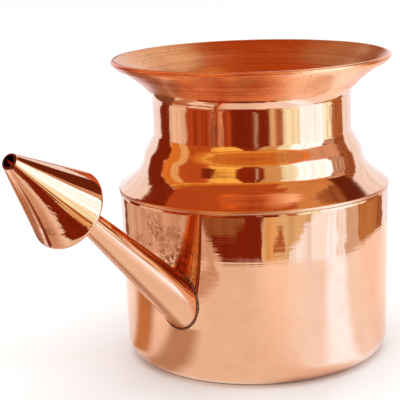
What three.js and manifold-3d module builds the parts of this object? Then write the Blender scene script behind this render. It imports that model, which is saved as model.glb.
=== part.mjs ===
// Copper neti pot: a spun cup and mouth, a tapered spout and a cone-shaped nose piece,
// all of sheet copper and soldered together. Millimetres, +Z up. The origin is the centre
// of the underside of the base, and the spout points along -X.

import * as THREE from 'three';
import { mergeVertices } from 'three/addons/utils/BufferGeometryUtils.js';
import Module from 'manifold-3d';

const wasm = await Module();
wasm.setup();

// Sheet and solder
const SHEET = 0.9; // wall of the cup and the mouth
const SOLDER_GAP = 0.3; // clearance between a piece and what it is soldered to
const SOLDER_BEAD = 1.1; // leg of a solder fillet

// Cup
const CUP_FOOT_RADIUS = 47.8; // outside of the wall, taken down to the table
const SHOULDER_RADIUS = 48.9; // outside of the wall at the shoulder
const SHOULDER_HEIGHT = 62.4; // table to the edge of the shoulder
const BASE_CORNER = 6.8; // outside radius between the base and the wall

// Mouth section, from the shoulder upwards
const SKIRT_DEPTH = 6; // lap of the mouth section inside the cup
const COVE_HEIGHT = 9.3; // shoulder edge to the foot of the ring
const SHOULDER_SLOPE = 40; // degrees above level where the cove leaves the shoulder
const SHOULDER_PULL = 6.2; // reach of the cove's curve up from the shoulder
const RING_RADIUS = 40; // outside of the ring below the neck, at its foot
const RING_HEIGHT = 3.3; // straight band of the ring
const RING_SLOPE = 76; // degrees above level at which the band leans in
const RING_FOOT_PULL = 3.3; // reach of the cove's curve down from the ring
const STEP_HEIGHT = 6.9; // top of the ring to the foot of the neck
const RING_TOP_PULL = 1.4; // reach of the step's curve up from the ring
const NECK_FOOT_PULL = 1.5; // reach of the step's curve down from the neck
const NECK_RADIUS = 35.8; // outside of the straight neck
const NECK_HEIGHT = 11.6; // length of the straight neck
const FLARE_HEIGHT = 15.2; // top of the straight neck to the top of the rim
const NECK_TOP_PULL = 5.5; // reach of the flare's curve up from the neck
const LIP_SLOPE = 46; // degrees above level where the flare meets the rim
const LIP_PULL = 7.4; // reach of the flare's curve down from the rim
const RIM_RADIUS = 49.95; // outside of the folded rim
const HEM_WIDTH = 2.4; // depth of the fold under the rim

// Spout
const SPOUT_RISE = 40.1; // degrees above level
const SPOUT_ROOT_HEIGHT = 30.7; // where the spout's axis crosses the cup's outside
const SPOUT_ROOT_RADIUS = 7.6; // outside of the tube there
const SPOUT_END_RADIUS = 2.9; // outside of the tube at the nose piece
const SPOUT_LENGTH = 68.8; // cup's outside to the back edge of the nose piece, on the axis
const SPOUT_WALL = 0.8;
const SPOUT_INSET = 1.2; // how far the tube's end stands inside the cup
const SPOUT_TONGUE = 4; // how far the tube reaches into the nose piece

// Nose piece
const NOSE_RADIUS = 12.9; // outside, at the widest
const NOSE_LENGTH = 29.8; // back edge to the tip, square to the back edge
const NOSE_TIP_RADIUS = 2.5; // outside of the tip
const NOSE_DROP = 1.6; // how far the middle of the back lies below the tube's axis
const NOSE_NOD = 6.3; // degrees the back nods down from square to the tube
const NOSE_LEAN = 5.3; // degrees the cone leans up again from square to its back
const NOSE_EDGE = 1.2; // outside radius of the rolled edge at the back
const NOSE_SHEET = 0.7;
const NOSE_FLANGE = 1.6; // width of the edge turned in at the back

// Fineness of the round forms
const POT_SIDES = 48;
const SPOUT_SIDES = 48;
const CURVE_STEPS = 6;

const CUT_MARGIN = 1; // how far a cutting form runs past what it cuts

const radians = THREE.MathUtils.degToRad;

// Solids and meshes

function asSolid(geometry) {
  const bare = geometry.clone();
  bare.deleteAttribute('normal');
  bare.deleteAttribute('uv');
  const merged = mergeVertices(bare);
  const corners = merged.index.array;
  const kept = [];
  for (let i = 0; i < corners.length; i += 3) {
    const [a, b, c] = corners.slice(i, i + 3);
    if (a !== b && b !== c && c !== a) {
      kept.push(a, b, c);
    }
  }
  return new wasm.Manifold(new wasm.Mesh({
    numProp: 3,
    vertProperties: new Float32Array(merged.attributes.position.array),
    triVerts: new Uint32Array(kept),
  }));
}

function asGeometry(solid) {
  const mesh = solid.getMesh();
  const geometry = new THREE.BufferGeometry();
  geometry.setAttribute('position', new THREE.BufferAttribute(mesh.vertProperties, 3));
  geometry.setIndex(new THREE.BufferAttribute(mesh.triVerts, 1));
  geometry.computeVertexNormals();
  return geometry;
}

// A profile of radius and height, turned round the Z axis
function turned(profile, sides) {
  return new THREE.LatheGeometry(profile, sides).rotateX(Math.PI / 2);
}

// A profile that doesn't touch the axis is closed on its first point
function turnedRing(profile, sides) {
  return turned([...profile, profile[0]], sides);
}

function at(radius, height) {
  return new THREE.Vector2(radius, height);
}

function arc(centre, radius, from, to) {
  const points = [];
  for (let i = 0; i <= CURVE_STEPS; i++) {
    const angle = from + ((to - from) * i) / CURVE_STEPS;
    points.push(at(centre.x + radius * Math.cos(angle), centre.y + radius * Math.sin(angle)));
  }
  return points;
}

function addPiece(parent, name, solid, finish) {
  const material = new THREE.MeshStandardMaterial(finish);
  const mesh = new THREE.Mesh(asGeometry(solid), material);
  mesh.name = name;
  parent.add(mesh);
}

const COPPER = { color: 0xd98a5c, roughness: 0.16, metalness: 1 };
const SOLDER = { color: 0x6b3f2a, roughness: 0.45, metalness: 1 };

// Cup: flat base, rounded corner and a wall that widens a little towards the shoulder

function wallRadius(height) {
  return CUP_FOOT_RADIUS + ((SHOULDER_RADIUS - CUP_FOOT_RADIUS) * height) / SHOULDER_HEIGHT;
}

const beadUnderside = SHOULDER_HEIGHT - SHEET;
const cupTop = beadUnderside - SOLDER_GAP;

function cupSolid() {
  const centre = at(wallRadius(BASE_CORNER) - BASE_CORNER, BASE_CORNER);
  const outside = arc(centre, BASE_CORNER, -Math.PI / 2, 0);
  const inside = arc(centre, BASE_CORNER - SHEET, 0, -Math.PI / 2);
  const profile = [
    at(0, 0),
    ...outside,
    at(wallRadius(cupTop), cupTop),
    at(wallRadius(cupTop) - SHEET, cupTop),
    ...inside,
    at(0, SHEET),
  ];
  return asSolid(turned(profile, POT_SIDES));
}

// A solid plug that follows the cup's outside, moved out by a distance
function wallPlug(distance) {
  const profile = [
    at(0, 0),
    at(wallRadius(0) + distance, 0),
    at(wallRadius(SHOULDER_HEIGHT) + distance, SHOULDER_HEIGHT),
    at(0, SHOULDER_HEIGHT),
  ];
  return turned(profile, POT_SIDES);
}

// Mouth section: skirt, shoulder edge, cove, ring, neck, flare and folded rim

const ringFoot = SHOULDER_HEIGHT + COVE_HEIGHT;
const ringTop = ringFoot + RING_HEIGHT;
const neckFoot = ringTop + STEP_HEIGHT;
const neckTop = neckFoot + NECK_HEIGHT;
const rimTop = neckTop + FLARE_HEIGHT;

function along(start, degrees, reach) {
  const angle = radians(degrees);
  return at(start.x + reach * Math.cos(angle), start.y + reach * Math.sin(angle));
}

function mouthCurves() {
  const shoulder = at(SHOULDER_RADIUS, SHOULDER_HEIGHT);
  const bandLean = RING_HEIGHT / Math.tan(radians(RING_SLOPE));
  const bandStart = at(RING_RADIUS, ringFoot);
  const bandEnd = at(RING_RADIUS - bandLean, ringTop);
  const neckStart = at(NECK_RADIUS, neckFoot);
  const neckEnd = at(NECK_RADIUS, neckTop);
  const lip = at(RIM_RADIUS - SHEET, rimTop - SHEET);
  const cove = new THREE.CubicBezierCurve(
    shoulder,
    along(shoulder, 180 - SHOULDER_SLOPE, SHOULDER_PULL),
    along(bandStart, -RING_SLOPE, RING_FOOT_PULL),
    bandStart);
  const step = new THREE.CubicBezierCurve(
    bandEnd,
    along(bandEnd, 180 - RING_SLOPE, RING_TOP_PULL),
    along(neckStart, -90, NECK_FOOT_PULL),
    neckStart);
  const flare = new THREE.CubicBezierCurve(
    neckEnd,
    along(neckEnd, 90, NECK_TOP_PULL),
    along(lip, LIP_SLOPE - 180, LIP_PULL),
    lip);
  return [cove, step, flare];
}

// Points of a curve, each moved to its right by a distance, which is away from the axis
function offsetPoints(curve, distance) {
  const points = [];
  for (let i = 0; i <= CURVE_STEPS; i++) {
    const share = i / CURVE_STEPS;
    const point = curve.getPoint(share);
    const tangent = curve.getTangent(share);
    points.push(at(point.x + distance * tangent.y, point.y - distance * tangent.x));
  }
  return points;
}

function skirtOutside(height) {
  return wallRadius(height) - SHEET - SOLDER_GAP;
}

const skirtFoot = beadUnderside - SKIRT_DEPTH;

function mouthSolid() {
  const [cove, step, flare] = mouthCurves();
  const lip = flare.getPoint(1);
  const lipTangent = flare.getTangent(1);
  const lipAngle = Math.atan2(lipTangent.y, lipTangent.x);
  const hemStart = 1 - HEM_WIDTH / flare.getLength();
  const hemFoot = flare.getPointAt(hemStart);
  const hemTangent = flare.getTangentAt(hemStart);
  const outside = [
    ...offsetPoints(cove, 0),
    ...offsetPoints(step, 0),
    ...offsetPoints(flare, 0).filter((point) => point.y < hemFoot.y),
  ];
  const hem = [
    hemFoot,
    at(hemFoot.x + SHEET * hemTangent.y, hemFoot.y - SHEET * hemTangent.x),
    ...arc(lip, SHEET, lipAngle - Math.PI / 2, lipAngle + Math.PI / 2),
  ];
  const skirtInside = skirtOutside(beadUnderside) - SHEET;
  const inside = [
    ...offsetPoints(flare, -SHEET).reverse().slice(1),
    ...offsetPoints(step, -SHEET).reverse(),
    ...offsetPoints(cove, -SHEET).reverse(),
  ].filter((point) => point.x < skirtInside);
  const profile = [
    at(skirtOutside(skirtFoot), skirtFoot),
    at(skirtOutside(beadUnderside), beadUnderside),
    at(SHOULDER_RADIUS, beadUnderside),
    ...outside,
    ...hem,
    ...inside,
    at(skirtInside, beadUnderside),
    at(skirtOutside(skirtFoot) - SHEET, skirtFoot),
  ];
  return asSolid(turnedRing(profile, POT_SIDES));
}

// Solder fillet below the skirt, all round the inside of the cup
function shoulderSeamSolid() {
  const top = skirtFoot - SOLDER_GAP;
  const foot = top - SOLDER_BEAD;
  const profile = [
    at(skirtOutside(top) - SHEET, top),
    at(skirtOutside(foot), foot),
    at(skirtOutside(top), top),
  ];
  return asSolid(turnedRing(profile, POT_SIDES));
}

// Spout: its group has +Z along the tube, away from the cup

const spout = new THREE.Group();
spout.position.set(-wallRadius(SPOUT_ROOT_HEIGHT), 0, SPOUT_ROOT_HEIGHT);
spout.rotation.y = radians(SPOUT_RISE - 90);
spout.updateMatrix();
const intoSpout = spout.matrix.clone().invert();

const riseAngle = radians(SPOUT_RISE);
const rootReach = SPOUT_ROOT_RADIUS * Math.tan(riseAngle);
const wallCrossing = (SHEET + SPOUT_INSET + SOLDER_BEAD) / Math.cos(riseAngle);
const rootSpan = 2 * (rootReach + wallCrossing); // ample length on either side of the wall
const tubeEnd = SPOUT_LENGTH + SPOUT_TONGUE;

function tubeRadius(distance) {
  return SPOUT_ROOT_RADIUS + ((SPOUT_END_RADIUS - SPOUT_ROOT_RADIUS) * distance) / SPOUT_LENGTH;
}

// A solid taper round the tube's axis, thicker than the tube by a distance
function taper(from, to, distance) {
  const profile = [
    at(0, from),
    at(tubeRadius(from) + distance, from),
    at(tubeRadius(to) + distance, to),
    at(0, to),
  ];
  return turned(profile, SPOUT_SIDES);
}

function besideWall(distance) {
  return asSolid(wallPlug(distance).applyMatrix4(intoSpout));
}

function spoutTubeSolid() {
  const profile = [
    at(tubeRadius(-rootSpan), -rootSpan),
    at(tubeRadius(tubeEnd), tubeEnd),
    at(tubeRadius(tubeEnd) - SPOUT_WALL, tubeEnd),
    at(tubeRadius(-rootSpan) - SPOUT_WALL, -rootSpan),
  ];
  const tube = asSolid(turnedRing(profile, SPOUT_SIDES));
  return tube.subtract(besideWall(-SHEET - SPOUT_INSET));
}

// Solder that follows the joint of the tube and the cup's outside
function spoutRootSolid() {
  const sleeve = asSolid(taper(-rootSpan, rootSpan, SOLDER_GAP + SOLDER_BEAD))
    .subtract(asSolid(taper(-rootSpan - CUT_MARGIN, rootSpan + CUT_MARGIN, SOLDER_GAP)));
  const skin = besideWall(SOLDER_GAP + SOLDER_BEAD).subtract(besideWall(SOLDER_GAP));
  return sleeve.intersect(skin);
}

function cupWithSpoutHole() {
  const hole = asSolid(taper(-rootSpan, rootSpan, SOLDER_GAP).applyMatrix4(spout.matrix));
  return cupSolid().subtract(hole);
}

// Nose piece: its group has +Z square to its back edge, and its origin in the middle of that edge

const nose = new THREE.Group();
nose.position.set(-NOSE_DROP, 0, SPOUT_LENGTH);
nose.rotation.y = radians(-NOSE_NOD);
nose.updateMatrix();
const intoNose = nose.matrix.clone().invert();
const noseLean = new THREE.Matrix4().makeShear(0, 0, 0, 0, Math.tan(radians(NOSE_LEAN)), 0);

const edgeCentre = at(NOSE_RADIUS - NOSE_EDGE, 0);
const flangeInside = NOSE_SHEET - NOSE_EDGE;
const discBack = flangeInside + SOLDER_GAP;
const flangeRadius = edgeCentre.x - NOSE_FLANGE;

// A closed profile, turned and then leaned as the cone is
function noseRing(profile) {
  return asSolid(turnedRing(profile, SPOUT_SIDES).applyMatrix4(noseLean));
}

// The space of the tube in the nose piece, with room for solder
function tubeRoom() {
  const start = SPOUT_LENGTH - rootSpan;
  return asSolid(taper(start, tubeEnd, SOLDER_GAP).applyMatrix4(intoNose));
}

function noseConeSolid() {
  const taperWidth = edgeCentre.x - NOSE_TIP_RADIUS;
  const span = Math.hypot(taperWidth, NOSE_LENGTH);
  const halfAngle = Math.atan2(taperWidth, NOSE_LENGTH) + Math.asin(NOSE_EDGE / span);
  const profile = [
    at(flangeRadius, -NOSE_EDGE),
    ...arc(edgeCentre, NOSE_EDGE, -Math.PI / 2, halfAngle),
    at(NOSE_TIP_RADIUS, NOSE_LENGTH),
    at(NOSE_TIP_RADIUS - NOSE_SHEET / Math.cos(halfAngle), NOSE_LENGTH),
    ...arc(edgeCentre, NOSE_EDGE - NOSE_SHEET, halfAngle, -Math.PI / 2),
    at(flangeRadius, flangeInside),
  ];
  return noseRing(profile);
}

// Disc that closes the back of the nose piece round the tube
function noseBackSolid() {
  const front = discBack + NOSE_SHEET;
  const profile = [
    at(0, discBack),
    at(edgeCentre.x, discBack),
    at(edgeCentre.x, front),
    at(0, front),
  ];
  return asSolid(turned(profile, SPOUT_SIDES)).subtract(tubeRoom());
}

// Solder in the step between the disc and the turned-in edge
function noseSeamSolid() {
  const outside = flangeRadius - SOLDER_GAP;
  return noseRing([
    at(outside - SOLDER_BEAD, flangeInside),
    at(outside, -NOSE_EDGE),
    at(outside, flangeInside),
  ]);
}

// Solder fillet round the tube, behind the disc
function noseCollarSolid() {
  const foot = flangeInside - SOLDER_BEAD;
  const bore = tubeRadius(SPOUT_LENGTH) + SOLDER_GAP;
  const profile = [
    at(0, foot),
    at(bore + SOLDER_GAP, foot),
    at(bore + SOLDER_BEAD, flangeInside),
    at(0, flangeInside),
  ];
  const fillet = turned(profile, SPOUT_SIDES).translate(NOSE_DROP, 0, 0);
  return asSolid(fillet).subtract(tubeRoom());
}

// The whole pot

const pot = new THREE.Group();
addPiece(pot, 'body_cup', cupWithSpoutHole(), COPPER);
addPiece(pot, 'neck_mouth', mouthSolid(), COPPER);
addPiece(pot, 'shoulder_seam_solder', shoulderSeamSolid(), SOLDER);
addPiece(spout, 'spout_tube', spoutTubeSolid(), COPPER);
addPiece(spout, 'spout_root_solder', spoutRootSolid(), SOLDER);
addPiece(nose, 'nose_cone', noseConeSolid(), COPPER);
addPiece(nose, 'nose_back_disc', noseBackSolid(), COPPER);
addPiece(nose, 'nose_seam_solder', noseSeamSolid(), SOLDER);
addPiece(nose, 'nose_collar_solder', noseCollarSolid(), SOLDER);
spout.add(nose);
pot.add(spout);

export default pot;
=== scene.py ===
# %% [markdown]
# A polished copper neti pot.
# A neti pot is a small vessel for rinsing the nose: a round cup, a neck with a flared mouth to fill it by,
# and a slanted spout that ends in a cone for the nostril.
# The packed CAD model is loaded first and never changed. Every piece below is made in the same frame,
# in metres, stands for one CAD node and rides on the same body as that node does.

# %% Load the frame
import math

import bmesh
import bpy
from mathutils import Matrix, Vector, noise
from mathutils.geometry import interpolate_bezier


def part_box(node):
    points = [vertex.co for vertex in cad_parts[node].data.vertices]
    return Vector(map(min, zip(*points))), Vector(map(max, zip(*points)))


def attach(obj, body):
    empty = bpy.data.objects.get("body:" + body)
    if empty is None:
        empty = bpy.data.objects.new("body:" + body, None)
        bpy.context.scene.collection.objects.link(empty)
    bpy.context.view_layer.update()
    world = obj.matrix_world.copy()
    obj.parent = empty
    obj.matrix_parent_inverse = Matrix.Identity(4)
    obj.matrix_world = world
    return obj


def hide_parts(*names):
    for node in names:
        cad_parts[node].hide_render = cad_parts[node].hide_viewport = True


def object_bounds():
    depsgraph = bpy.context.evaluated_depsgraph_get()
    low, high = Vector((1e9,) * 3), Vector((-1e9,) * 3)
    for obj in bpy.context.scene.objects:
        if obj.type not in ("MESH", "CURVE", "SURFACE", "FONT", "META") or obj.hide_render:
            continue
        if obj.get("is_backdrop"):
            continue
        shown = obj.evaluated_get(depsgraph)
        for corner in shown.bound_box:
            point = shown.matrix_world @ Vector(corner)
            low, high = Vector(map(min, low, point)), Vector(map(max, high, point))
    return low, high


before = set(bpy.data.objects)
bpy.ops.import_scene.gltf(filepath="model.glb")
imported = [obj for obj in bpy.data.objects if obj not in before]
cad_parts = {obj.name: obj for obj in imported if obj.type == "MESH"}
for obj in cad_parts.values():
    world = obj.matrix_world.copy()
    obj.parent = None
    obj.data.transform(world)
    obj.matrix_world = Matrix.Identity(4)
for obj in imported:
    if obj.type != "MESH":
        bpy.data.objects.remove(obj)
CAD_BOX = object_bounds()
MM = 0.001


def in_mm(corner):
    return [round(value / MM, 1) for value in corner]


print("CAD box in mm:", in_mm(CAD_BOX[0]), in_mm(CAD_BOX[1]))

# %% [markdown]
# The camera comes first, because every later look at the pot goes through it.
# It stands in front of the pot and a little above it, with the spout turned to its left.
# The lens is a long one, so the rim and the base are seen almost alike. A turn about the upright axis,
# a tilt and a small roll are multiplied as matrices, which keeps each of them a plain number.

# %% Camera
SPOUT_TURN = math.radians(33.5)  # seen from above, from the spout round to the camera
CAMERA_REACH = 461.5 * MM  # pot's axis to the camera, level
CAMERA_HEIGHT = 162.8 * MM
CAMERA_DIP = math.radians(13.05)
CAMERA_SWING = math.radians(2.45)  # aimed this far to the left of the pot's axis
CAMERA_ROLL = math.radians(-2.0)
CAMERA_LENS = 116.3  # millimetres
SENSOR_WIDTH = 36  # millimetres

CAMERA_SIDE = math.pi + SPOUT_TURN


def round_the_pot(angle, reach, height):
    """A point beside the pot, at an angle to the right of the camera as the pot sees it."""
    turn = CAMERA_SIDE + angle
    return Vector((reach * math.cos(turn), reach * math.sin(turn), height))


camera = bpy.data.objects.new("camera", bpy.data.cameras.new("camera"))
bpy.context.scene.collection.objects.link(camera)
camera.data.sensor_width = SENSOR_WIDTH
camera.data.lens = CAMERA_LENS
camera.matrix_world = (
    Matrix.Translation(round_the_pot(0, CAMERA_REACH, CAMERA_HEIGHT))
    @ Matrix.Rotation(CAMERA_SIDE + math.pi / 2 + CAMERA_SWING, 4, "Z")
    @ Matrix.Rotation(math.pi / 2 - CAMERA_DIP, 4, "X")
    @ Matrix.Rotation(CAMERA_ROLL, 4, "Z")
)
bpy.context.scene.camera = camera
print("camera at, in mm:", in_mm(camera.matrix_world.translation))

# %% [markdown]
# Most of the pot is spun: a sheet is pressed over a turning form, so every section is round.
# Blender's spin operator does the same to a line. These helpers draw a line of radius and height,
# turn it once round the axis, soften a ring of edges with a bevel and hand the mesh to an object.
# A mirror finish shows every fault of the shading, so faces are smooth and only real corners stay sharp.

# %% Helpers for turned pieces
NEAR = 0.01 * MM
SHARP_CORNER = math.radians(35)


def draw_line(bm, points, closed=False):
    """A chain of edges through points of radius and height."""
    corners = [bm.verts.new((point[0], 0, point[1])) for point in points]
    for start, end in zip(corners, corners[1:]):
        bm.edges.new((start, end))
    if closed:
        bm.edges.new((corners[-1], corners[0]))


def turn_line(bm, steps):
    """Turns the line once round the Z axis and points its faces outwards."""
    bmesh.ops.spin(
        bm, geom=bm.verts[:] + bm.edges[:], cent=(0, 0, 0), axis=(0, 0, 1),
        angle=2 * math.pi, steps=steps, use_merge=True,
    )
    bmesh.ops.remove_doubles(bm, verts=bm.verts[:], dist=NEAR)
    bmesh.ops.recalc_face_normals(bm, faces=bm.faces[:])


def ring_edges(bm, radius, height):
    """The edges of the ring at a radius and a height."""
    def on_ring(vert):
        return abs(vert.co.xy.length - radius) < NEAR and abs(vert.co.z - height) < NEAR
    return [edge for edge in bm.edges if all(on_ring(vert) for vert in edge.verts)]


def soften_ring(bm, radius, height, width, segments=4):
    bmesh.ops.bevel(
        bm, geom=ring_edges(bm, radius, height), offset=width, offset_type="OFFSET",
        segments=segments, profile=0.5, affect="EDGES", material=-1,
    )


def arc(centre, radius, start, end, count):
    """Points of a round stretch, from one angle to another."""
    angles = [start + (end - start) * i / count for i in range(count + 1)]
    return [centre + radius * Vector((math.cos(a), math.sin(a))) for a in angles]


def new_object(bm, name):
    """A bmesh becomes an object at the origin."""
    mesh = bpy.data.meshes.new(name)
    bm.to_mesh(mesh)
    bm.free()
    made = bpy.data.objects.new(name, mesh)
    bpy.context.scene.collection.objects.link(made)
    return made


def finish_piece(bm, name, node):
    """A bmesh becomes the object that stands for a CAD node."""
    for face in bm.faces:
        face.smooth = True
    piece = new_object(bm, name)
    piece.data.set_sharp_from_angle(angle=SHARP_CORNER)
    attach(piece, "root")
    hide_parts(node)
    return piece


def report_piece(piece, node):
    """Prints the piece's size beside its CAD node's."""
    spans = [max(axis) - min(axis) for axis in zip(*(vert.co for vert in piece.data.vertices))]
    low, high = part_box(node)
    print(piece.name, in_mm(spans), "CAD", in_mm(high - low), len(piece.data.polygons), "faces")


print("corners sharper than", round(math.degrees(SHARP_CORNER)), "degrees stay crisp")

# %% [markdown]
# The cup is one spun sheet: a flat base, a rounded corner and a wall that widens a little upwards.
# Three points make the line. The corner is bevelled after the turn, which gives a true round,
# and solidify gives the sheet its thickness on the inside. Two rings cut near the ends of the wall
# hold its shading straight, because a long smooth face beside a short one would bend its reflections.

# %% Cup
SHEET = 0.9 * MM
CUP_FOOT_RADIUS = 47.8 * MM
SHOULDER_RADIUS = 48.9 * MM
SHOULDER_HEIGHT = 62.4 * MM
BASE_CORNER = 6.8 * MM
CORNER_SEGMENTS = 14
WALL_HOLD = 1.0 * MM  # from either end of the wall to the ring that holds its shading
LIP_BEVEL = 0.2 * MM
FIT_GAP = 0.05 * MM  # left between pieces that touch on the real pot
CUP_TOP = SHOULDER_HEIGHT - SHEET - FIT_GAP
POT_STEPS = 192


def wall_radius(height):
    return CUP_FOOT_RADIUS + (SHOULDER_RADIUS - CUP_FOOT_RADIUS) * height / SHOULDER_HEIGHT


def cut_ring(bm, height):
    bmesh.ops.bisect_plane(
        bm, geom=bm.verts[:] + bm.edges[:] + bm.faces[:], plane_co=(0, 0, height), plane_no=(0, 0, 1),
    )


def cup_bmesh():
    bm = bmesh.new()
    draw_line(bm, [(0, 0), (CUP_FOOT_RADIUS, 0), (wall_radius(CUP_TOP), CUP_TOP)])
    turn_line(bm, POT_STEPS)
    soften_ring(bm, CUP_FOOT_RADIUS, 0, BASE_CORNER, segments=CORNER_SEGMENTS)
    cut_ring(bm, BASE_CORNER + WALL_HOLD)
    cut_ring(bm, CUP_TOP - WALL_HOLD)
    bmesh.ops.recalc_face_normals(bm, faces=bm.faces[:])
    bmesh.ops.solidify(bm, geom=bm.faces[:], thickness=SHEET)
    soften_ring(bm, wall_radius(CUP_TOP), CUP_TOP, LIP_BEVEL, segments=3)
    return bm


cup = finish_piece(cup_bmesh(), "copper_cup", "body_cup")
report_piece(cup, "body_cup")

# %% [markdown]
# The mouth section is a second spun sheet. From the shoulder it sweeps in as a hollow cove to a ring,
# steps in again to the straight neck and flares out to a rim that is folded over for strength.
# The sweeps are Bezier stretches with a few driving sizes. The sheet's inner face is the same line,
# moved inwards by the thickness, so the closed outline can be turned in one go.

# %% Mouth section
SOLDER_GAP = 0.3 * MM
SKIRT_DEPTH = 6.0 * MM
COVE_HEIGHT = 9.3 * MM
SHOULDER_SLOPE = math.radians(40)  # above level, where the cove leaves the shoulder
SHOULDER_PULL = 6.2 * MM
RING_RADIUS = 40.0 * MM
RING_HEIGHT = 3.3 * MM
RING_SLOPE = math.radians(76)  # above level, at which the ring's band leans in
RING_FOOT_PULL = 3.3 * MM
STEP_HEIGHT = 6.9 * MM
RING_TOP_PULL = 1.4 * MM
NECK_FOOT_PULL = 1.5 * MM
NECK_RADIUS = 35.8 * MM
NECK_HEIGHT = 11.6 * MM
FLARE_HEIGHT = 15.2 * MM
NECK_TOP_PULL = 5.5 * MM
LIP_SLOPE = math.radians(46)  # above level, where the flare meets the rim
LIP_PULL = 7.4 * MM
RIM_RADIUS = 49.95 * MM
HEM_WIDTH = 2.4 * MM
HEM_TUCK = 0.05  # share of the way from the flare out to the hem at which the hem starts
FOLD_POINTS = 10
SHOULDER_BEVEL = 0.35 * MM
BEAD_BEVEL = 0.25 * MM
CURVE_POINTS = 22
HELD = (0.1, 0.5, 0.9)  # shares of a straight stretch that keep its shading straight

BEAD_UNDERSIDE = SHOULDER_HEIGHT - SHEET
RING_FOOT = SHOULDER_HEIGHT + COVE_HEIGHT
RING_TOP = RING_FOOT + RING_HEIGHT
NECK_FOOT = RING_TOP + STEP_HEIGHT
NECK_TOP = NECK_FOOT + NECK_HEIGHT
RIM_TOP = NECK_TOP + FLARE_HEIGHT
SKIRT_FOOT = BEAD_UNDERSIDE - SKIRT_DEPTH


def skirt_outside(height):
    return wall_radius(height) - SHEET - SOLDER_GAP


def sloped(angle, reach):
    return reach * Vector((math.cos(angle), math.sin(angle)))


def mouth_outline():
    """Outside of the mouth section, from the shoulder to the lip."""
    shoulder = Vector((SHOULDER_RADIUS, SHOULDER_HEIGHT))
    band_start = Vector((RING_RADIUS, RING_FOOT))
    band_end = Vector((RING_RADIUS - RING_HEIGHT / math.tan(RING_SLOPE), RING_TOP))
    neck_start = Vector((NECK_RADIUS, NECK_FOOT))
    neck_end = Vector((NECK_RADIUS, NECK_TOP))
    lip = Vector((RIM_RADIUS - SHEET, RIM_TOP - SHEET))
    up = Vector((0, 1))
    band_up = sloped(math.pi - RING_SLOPE, 1)
    cove = interpolate_bezier(
        shoulder, shoulder + sloped(math.pi - SHOULDER_SLOPE, SHOULDER_PULL),
        band_start - RING_FOOT_PULL * band_up, band_start, CURVE_POINTS)
    step = interpolate_bezier(
        band_end, band_end + RING_TOP_PULL * band_up,
        neck_start - NECK_FOOT_PULL * up, neck_start, CURVE_POINTS)
    flare = interpolate_bezier(
        neck_end, neck_end + NECK_TOP_PULL * up, lip - sloped(LIP_SLOPE, LIP_PULL), lip, CURVE_POINTS)
    band = [band_start.lerp(band_end, share) for share in HELD]
    neck = [neck_start.lerp(neck_end, share) for share in HELD]
    return cove + band + step + neck + flare


def moved_line(points, distance):
    """The same line, moved to its right by a distance."""
    moved = []
    for before, here, after in zip(points[:1] + points, points, points[1:] + points[-1:]):
        along = (after - before).normalized()
        moved.append(here + distance * Vector((along.y, -along.x)))
    return moved


def mouth_bmesh():
    outside = mouth_outline()
    lip = outside[-1]
    inside = moved_line(outside, -SHEET)
    lip_angle = math.atan2(*(outside[-1] - outside[-2]).yx)
    hem_outside = [point for point in moved_line(outside, SHEET) if (point - lip).length < HEM_WIDTH]
    below_hem = [point for point in outside if (point - lip).length > HEM_WIDTH]
    fold = arc(lip, SHEET, lip_angle - math.pi / 2, lip_angle + math.pi / 2, FOLD_POINTS)
    hem_foot = below_hem[-1].lerp(hem_outside[0], HEM_TUCK)
    skirt_inside = skirt_outside(BEAD_UNDERSIDE) - SHEET
    profile = [
        Vector((skirt_outside(SKIRT_FOOT), SKIRT_FOOT)),
        Vector((skirt_outside(BEAD_UNDERSIDE), BEAD_UNDERSIDE)),
        Vector((SHOULDER_RADIUS, BEAD_UNDERSIDE)),
        *below_hem,
        hem_foot,
        *hem_outside[:-1],
        *fold,
        *[point for point in reversed(inside[:-1]) if point.x < skirt_inside],
        Vector((skirt_inside, BEAD_UNDERSIDE)),
        Vector((skirt_outside(SKIRT_FOOT) - SHEET, SKIRT_FOOT)),
    ]
    bm = bmesh.new()
    draw_line(bm, profile, closed=True)
    turn_line(bm, POT_STEPS)
    soften_ring(bm, SHOULDER_RADIUS, SHOULDER_HEIGHT, SHOULDER_BEVEL)
    soften_ring(bm, SHOULDER_RADIUS, BEAD_UNDERSIDE, BEAD_BEVEL)
    return bm


mouth = finish_piece(mouth_bmesh(), "copper_mouth", "neck_mouth")
report_piece(mouth, "neck_mouth")

# %% [markdown]
# The spout is a tapered tube, let through the wall of the cup and trimmed to follow it on the inside.
# A cone without caps gives the taper and solidify its wall. The trim is a Boolean with a plug
# the shape of the cup's inside, and the hole in the cup is a Boolean with a slightly wider taper.
# A cut breaks the smooth shading of the wall round the hole, so the wall's normals are copied back
# from the cup as it was before the cut.

# %% Spout and its hole
SPOUT_RISE = math.radians(40.1)
SPOUT_ROOT_HEIGHT = 30.7 * MM
SPOUT_ROOT_RADIUS = 7.6 * MM
SPOUT_END_RADIUS = 2.9 * MM
SPOUT_LENGTH = 68.8 * MM
SPOUT_WALL = 0.8 * MM
SPOUT_INSET = 1.2 * MM  # reach inside the cup
SPOUT_TONGUE = 4.0 * MM  # reach inside the nose piece
SPOUT_STEPS = 96
ROOT_SPAN = 18.0 * MM  # ample length on either side of the wall
HOLE_MARGIN = 0.15 * MM

SPOUT_ROOT = Vector((-wall_radius(SPOUT_ROOT_HEIGHT), 0, SPOUT_ROOT_HEIGHT))
SPOUT_LEAN = SPOUT_RISE - math.pi / 2  # turn about Y from upright
SPOUT_FRAME = Matrix.Translation(SPOUT_ROOT) @ Matrix.Rotation(SPOUT_LEAN, 4, "Y")


def tube_radius(distance):
    return SPOUT_ROOT_RADIUS + (SPOUT_END_RADIUS - SPOUT_ROOT_RADIUS) * distance / SPOUT_LENGTH


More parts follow.
